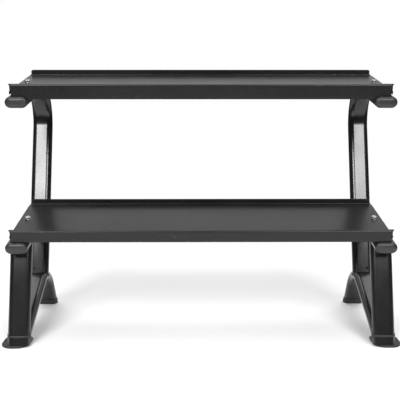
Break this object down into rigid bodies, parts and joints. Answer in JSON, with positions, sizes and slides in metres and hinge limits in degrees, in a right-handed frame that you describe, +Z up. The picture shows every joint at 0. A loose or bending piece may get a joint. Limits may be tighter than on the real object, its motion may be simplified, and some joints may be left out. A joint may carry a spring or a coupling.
{
  "type": "two-tier dumbbell rack",
  "caption": "Two-tier dumbbell rack: bent flat-oval tube side frames on arched bases carry two tilted sheet trays with folded front lips and low back lips.",
  "frame": {"origin": "on the floor, at the middle of the rack's footprint", "axes": "+X runs along the trays to the viewer's right, +Y runs from the front to the back, +Z is up"},
  "size_m": [1.304, 0.5296, 0.8915],
  "materials": {
    "frame_paint": "semi-gloss black powder coat over welded steel tube",
    "tray_paint": "semi-gloss black powder coat over bent steel sheet",
    "cap_plastic": "matte black moulded plastic",
    "boot_rubber": "matte black moulded rubber",
    "zinc_steel": "bright zinc plated fasteners"
  },
  "bodies": {
    "root": {"upright_left": "frame_paint", "upright_right": "frame_paint", "lower_arm_left": "frame_paint", "lower_arm_right": "frame_paint", "front_leg_left": "frame_paint", "front_leg_right": "frame_paint", "base_arch_left": "frame_paint", "base_arch_right": "frame_paint", "upper_arm_cap_left": "cap_plastic", "upper_arm_cap_right": "cap_plastic", "lower_arm_cap_left": "cap_plastic", "lower_arm_cap_right": "cap_plastic", "front_boot_left": "boot_rubber", "front_boot_right": "boot_rubber", "rear_boot_left": "boot_rubber", "rear_boot_right": "boot_rubber", "upper_tray": "tray_paint", "lower_tray": "tray_paint", "upper_saddle_left": "frame_paint", "upper_saddle_right": "frame_paint", "lower_saddle_left": "frame_paint", "lower_saddle_right": "frame_paint", "upper_cross_rail": "frame_paint", "lower_cross_rail": "frame_paint", "rail_plugs": "zinc_steel", "rail_bolts": "zinc_steel", "rail_washers": "zinc_steel", "tray_bolts": "zinc_steel", "tray_washers": "zinc_steel", "tray_nuts": "zinc_steel"}
  },
  "joints": []
}
